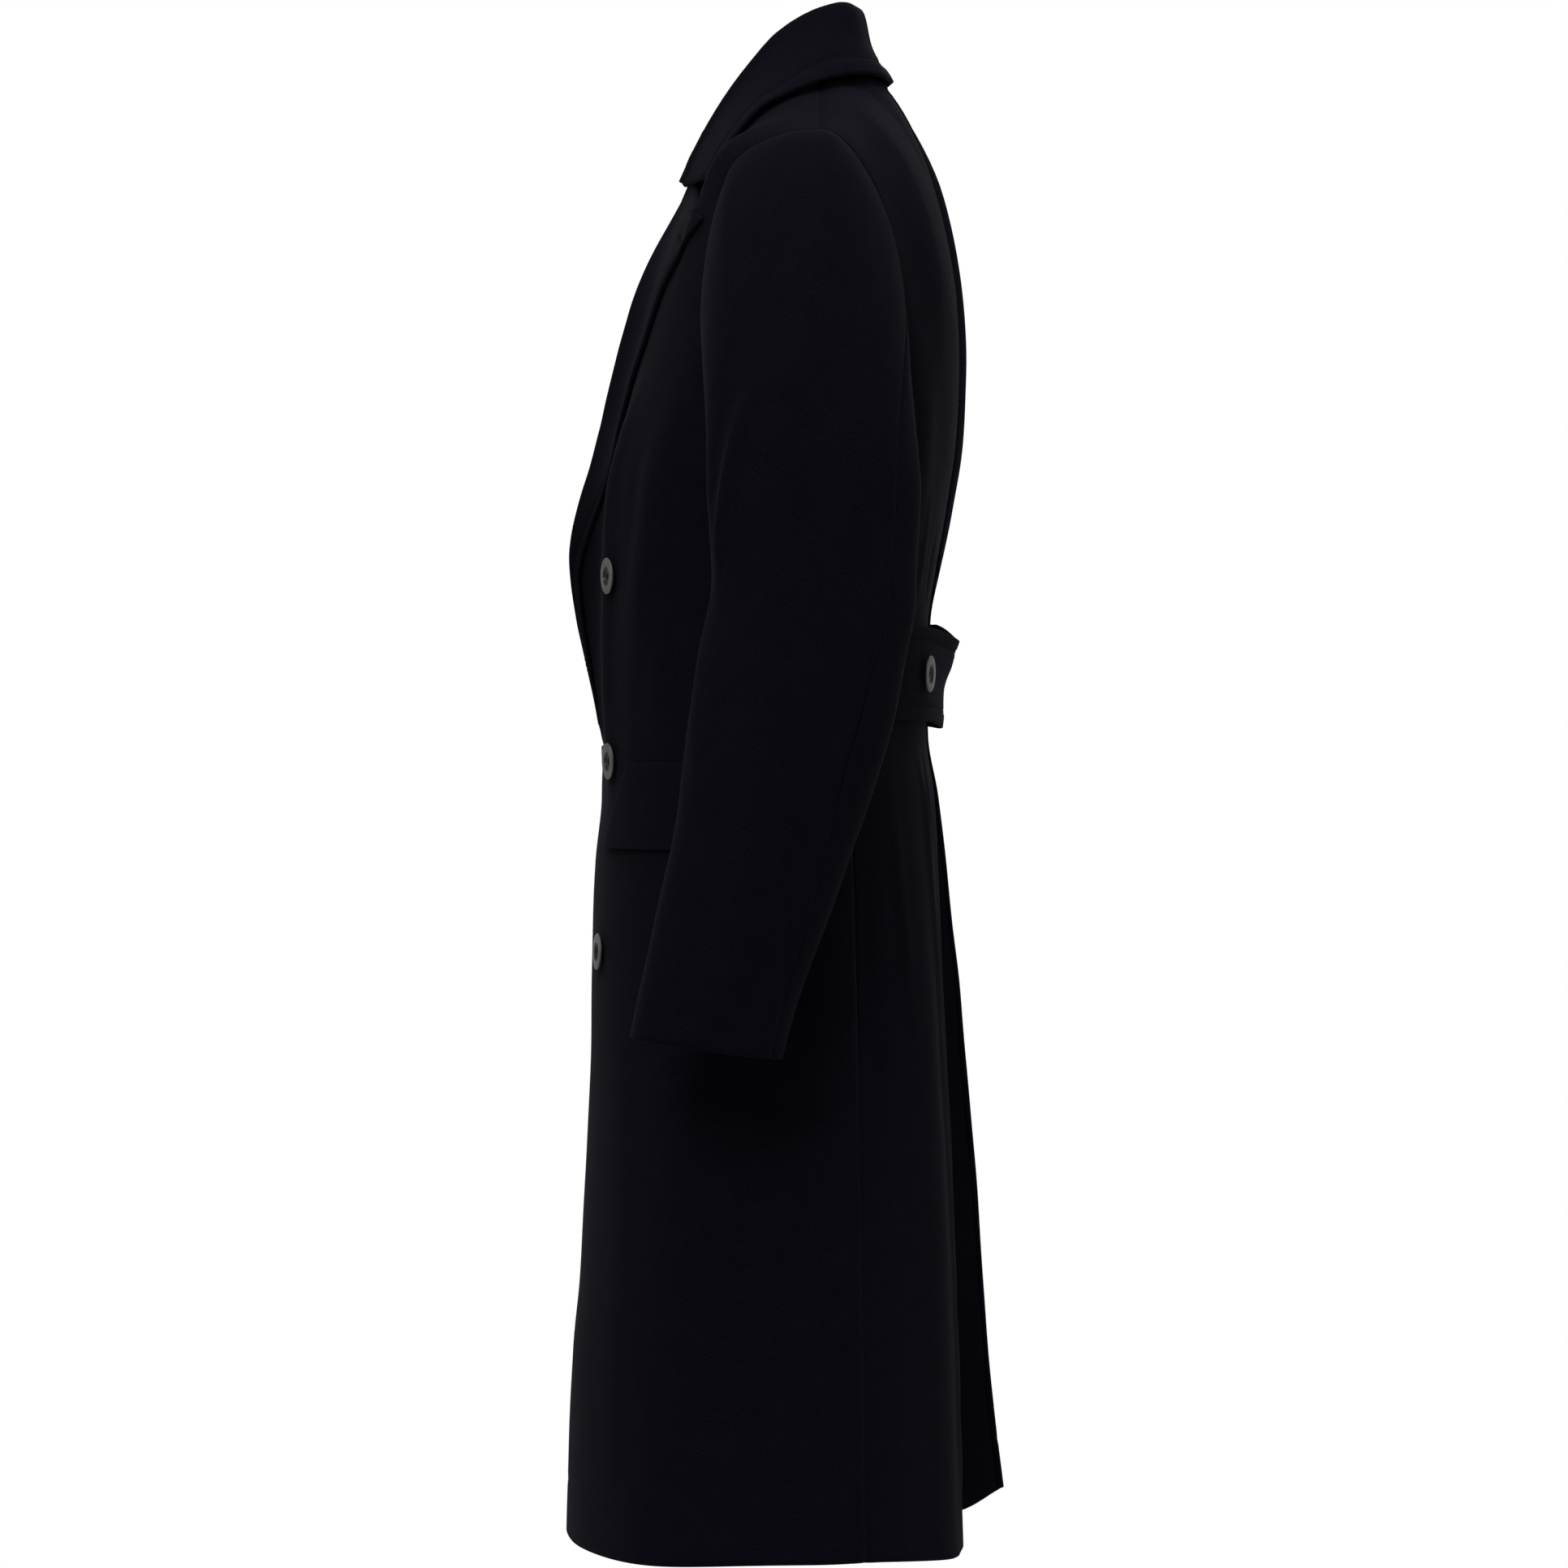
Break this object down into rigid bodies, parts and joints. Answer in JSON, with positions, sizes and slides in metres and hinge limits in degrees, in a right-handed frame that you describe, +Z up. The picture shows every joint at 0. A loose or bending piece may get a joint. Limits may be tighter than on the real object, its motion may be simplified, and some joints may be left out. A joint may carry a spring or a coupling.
{
  "type": "double-breasted overcoat",
  "caption": "Long double-breasted wool overcoat with notch lapels, flap pockets, half belt and back pleat, filled out as worn and open at neck, cuffs and hem.",
  "frame": {"origin": "midway between the two shoulder points, where the wearer's shoulders hold the coat up", "axes": "+Z up, +X to the wearer's left, -Y to the wearer's front"},
  "size_m": [0.702, 0.3334, 1.1735],
  "materials": {
    "wool": "napped navy-black wool coating, matt with a soft sheen at grazing angles",
    "horn": "dark horn, half matt"
  },
  "bodies": {
    "root": {"left_front": "wool", "left_back": "wool", "left_lapel": "wool", "left_pocket_flap": "wool", "left_top_sleeve": "wool", "left_under_sleeve": "wool", "right_front": "wool", "right_back": "wool", "right_lapel": "wool", "right_pocket_flap": "wool", "right_top_sleeve": "wool", "right_under_sleeve": "wool", "back_pleat": "wool", "collar": "wool", "half_belt": "wool", "button_left_1": "horn", "button_left_2": "horn", "button_left_3": "horn", "button_right_1": "horn", "button_right_2": "horn", "button_right_3": "horn", "belt_button_left": "horn", "belt_button_right": "horn"}
  },
  "joints": []
}
